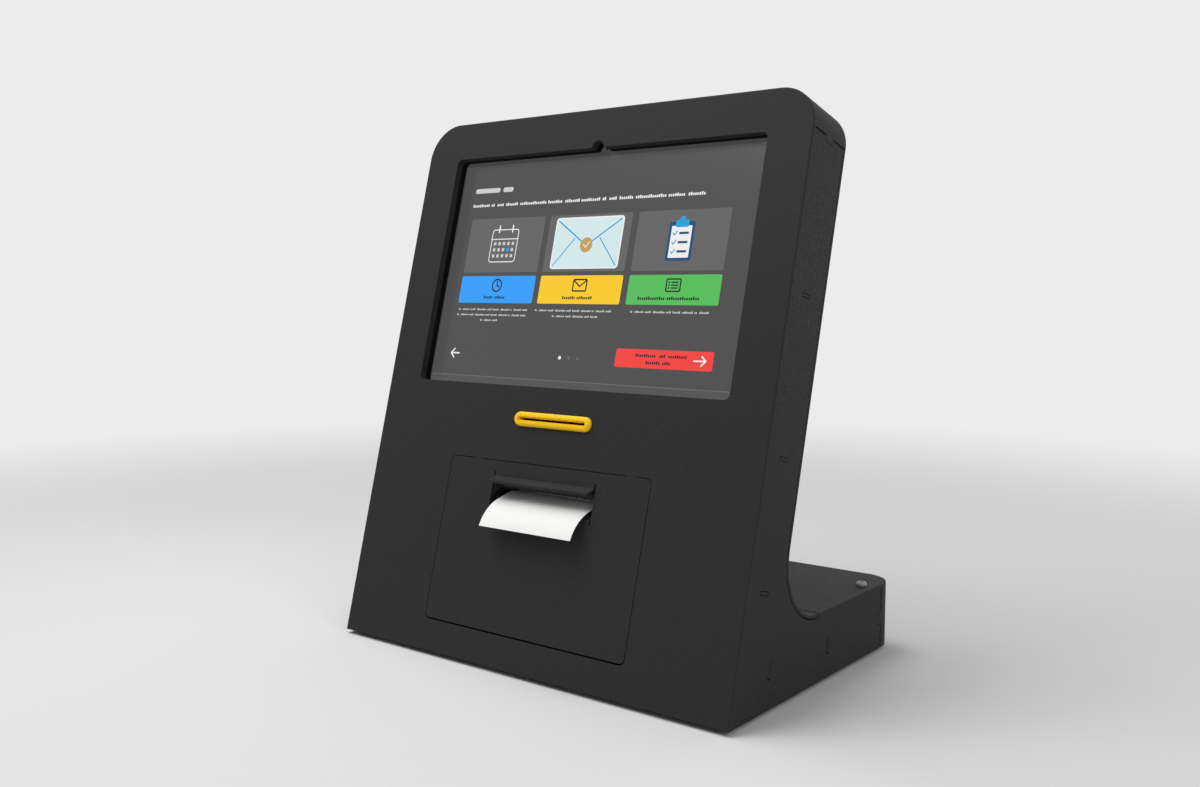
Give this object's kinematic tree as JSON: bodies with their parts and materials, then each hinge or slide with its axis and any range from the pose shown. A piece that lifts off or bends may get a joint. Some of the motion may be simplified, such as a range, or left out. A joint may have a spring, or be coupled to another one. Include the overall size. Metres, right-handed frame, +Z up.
{
  "type": "countertop kiosk",
  "caption": "Leaning sheet-metal countertop check-in kiosk with a recessed touch screen, a card slot, a tilt-out receipt printer door and a low rear base with a lift-off lid.",
  "frame": {"origin": "middle of the footprint on the counter, under the rubber feet", "axes": "+Z up, -Y out of the screen side towards the person using it, +X to that person's right"},
  "size_m": [0.33, 0.2267, 0.3776],
  "materials": {
    "black_coat": "fine matt powder coat",
    "plain_steel": "plain zinc coated sheet",
    "screw_steel": "blackened",
    "screen_glass": "gloss cover glass over a dark display",
    "tablet_case": "fine texture",
    "black_foam": "soft foam",
    "yellow_bezel": "smooth",
    "circuit_green": "solder mask",
    "black_plastic": "moulded",
    "grey_plastic": "moulded",
    "white_gear": "natural acetal",
    "black_rubber": "matt",
    "head_aluminium": "milled",
    "bush_brass": "turned",
    "bright_metal": "satin",
    "paper_white": "thermal paper",
    "card_core": "wound card"
  },
  "bodies": {
    "chassis": {"front_shell": "black_coat", "top_strip": "black_coat", "back_cover": "black_coat", "cover_screws": "screw_steel", "reader_shelf": "black_coat", "tablet_rail": "black_coat", "side_gussets": "black_coat", "front_cross_rail": "black_coat", "base_cross_rail": "black_coat", "base_rear_wall": "black_coat", "cable_grommet": "black_rubber", "bottom_plate": "black_coat", "rubber_feet": "black_rubber", "display_gasket": "black_foam", "display_glass": "screen_glass", "display_housing": "tablet_case", "display_clamps": "plain_steel", "clamp_screws": "screw_steel", "card_bezel": "yellow_bezel", "card_reader_housing": "black_plastic", "card_reader_board": "circuit_green", "reader_screws": "screw_steel", "hinge_brackets": "plain_steel", "hinge_pins": "screw_steel", "door_magnets": "bright_metal", "magnet_brackets": "plain_steel", "lock_keeper": "plain_steel", "power_supply": "black_plastic", "controller_board": "circuit_green", "board_posts": "bush_brass"},
    "printer_door": {"printer_door": "black_coat", "printer_frame": "plain_steel", "frame_screws": "screw_steel", "platen_bushes": "bush_brass", "guide_rod": "plain_steel", "print_head": "head_aluminium", "head_spring": "plain_steel", "tear_bar": "screw_steel", "stepper_motor": "bright_metal", "printer_board": "circuit_green", "switch_body": "black_plastic", "receipt_paper": "paper_white", "paper_bucket": "grey_plastic"},
    "platen": {"platen_shaft": "screw_steel", "platen_roller": "black_rubber", "platen_gear": "white_gear"},
    "pinion": {"motor_pinion": "bush_brass"},
    "roll": {"paper_roll": "paper_white", "roll_core": "card_core"},
    "button": {"feed_button": "grey_plastic"},
    "lid": {"base_lid": "black_coat", "lock_housing": "bright_metal"},
    "lock": {"lock_plug": "grey_plastic", "lock_cam": "bright_metal"}
  },
  "joints": [
    {"name": "door_hinge", "type": "hinge", "parent": "chassis", "child": "printer_door", "pos_m": [0, -0.10176, 0.03197], "axis": [1, 0, 0], "range_deg": [0, 70]},
    {"name": "platen_spin", "type": "hinge", "parent": "printer_door", "child": "platen", "pos_m": [0, -0.06767, 0.10677], "axis": [1, 0, 0], "continuous": true},
    {"name": "pinion_spin", "type": "hinge", "parent": "printer_door", "child": "pinion", "pos_m": [0, -0.07559, 0.09229], "axis": [1, 0, 0], "continuous": true},
    {"name": "roll_spin", "type": "hinge", "parent": "printer_door", "child": "roll", "pos_m": [0, -0.06845, 0.06045], "axis": [1, 0, 0], "continuous": true},
    {"name": "feed_button_press", "type": "slide", "parent": "printer_door", "child": "button", "axis": [1, 0, 0], "range_m": [0, 0.0008], "stiffness_N_per_m": 400},
    {"name": "lid_lift", "type": "slide", "parent": "chassis", "child": "lid", "axis": [0, 0, 1], "range_m": [0, 0.06]},
    {"name": "lock_turn", "type": "hinge", "parent": "lid", "child": "lock", "pos_m": [0.1555, 0.0763, 0.04], "axis": [0, 0, -1], "range_deg": [0, 90]}
  ],
  "couplings": [
    {"joint": "platen_spin", "follows": "roll_spin", "ratio": 3.3846},
    {"joint": "pinion_spin", "follows": "roll_spin", "ratio": -9.0256}
  ]
}
